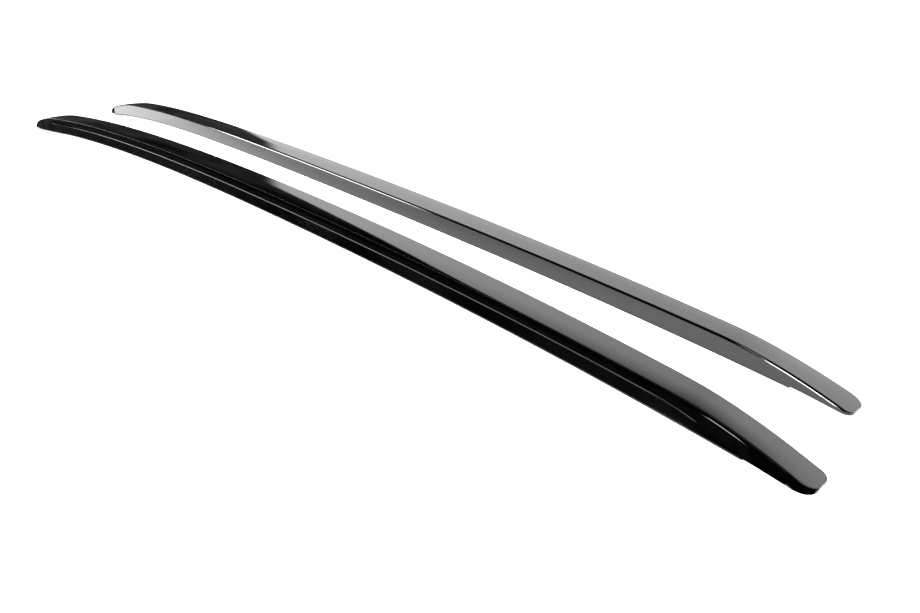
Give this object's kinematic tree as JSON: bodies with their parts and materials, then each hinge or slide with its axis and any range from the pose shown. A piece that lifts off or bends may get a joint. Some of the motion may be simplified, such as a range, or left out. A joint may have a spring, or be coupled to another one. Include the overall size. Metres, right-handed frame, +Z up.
{
  "type": "roof side rail pair",
  "caption": "Mirror-image pair of low flush car roof side rails in gloss black, arched along their length, each tapering to a point at one end and blunt at the other, for clamp-on cross bars.",
  "frame": {"origin": "on the floor under the middle of the pair", "axes": "+X along the rails towards their blunt ends, +Z up; the right rail is on the -Y side and the left rail on the +Y side"},
  "size_m": [1.9298, 0.2496, 0.0744],
  "materials": {
    "gloss_black_rail": "deep black paint under a gloss clear coat, on a bent aluminium profile",
    "seal_rubber": "matt black moulded rubber",
    "plug_foam": "matt closed-cell rubber",
    "zinc_plated_block": "machined steel with bright zinc plating",
    "dark_screw_steel": "black oxide steel"
  },
  "bodies": {
    "root": {"right_rail": "gloss_black_rail", "right_base_seal": "seal_rubber", "right_pointed_end_plug": "plug_foam", "right_blunt_end_plug": "plug_foam", "right_mount_block_1": "zinc_plated_block", "right_mount_block_2": "zinc_plated_block", "right_mount_block_3": "zinc_plated_block", "right_mount_block_4": "zinc_plated_block", "right_mount_block_5": "zinc_plated_block", "right_set_screws": "dark_screw_steel", "right_seal_rings": "seal_rubber", "left_rail": "gloss_black_rail", "left_base_seal": "seal_rubber", "left_pointed_end_plug": "plug_foam", "left_blunt_end_plug": "plug_foam", "left_mount_block_1": "zinc_plated_block", "left_mount_block_2": "zinc_plated_block", "left_mount_block_3": "zinc_plated_block", "left_mount_block_4": "zinc_plated_block", "left_mount_block_5": "zinc_plated_block", "left_set_screws": "dark_screw_steel", "left_seal_rings": "seal_rubber"}
  },
  "joints": []
}
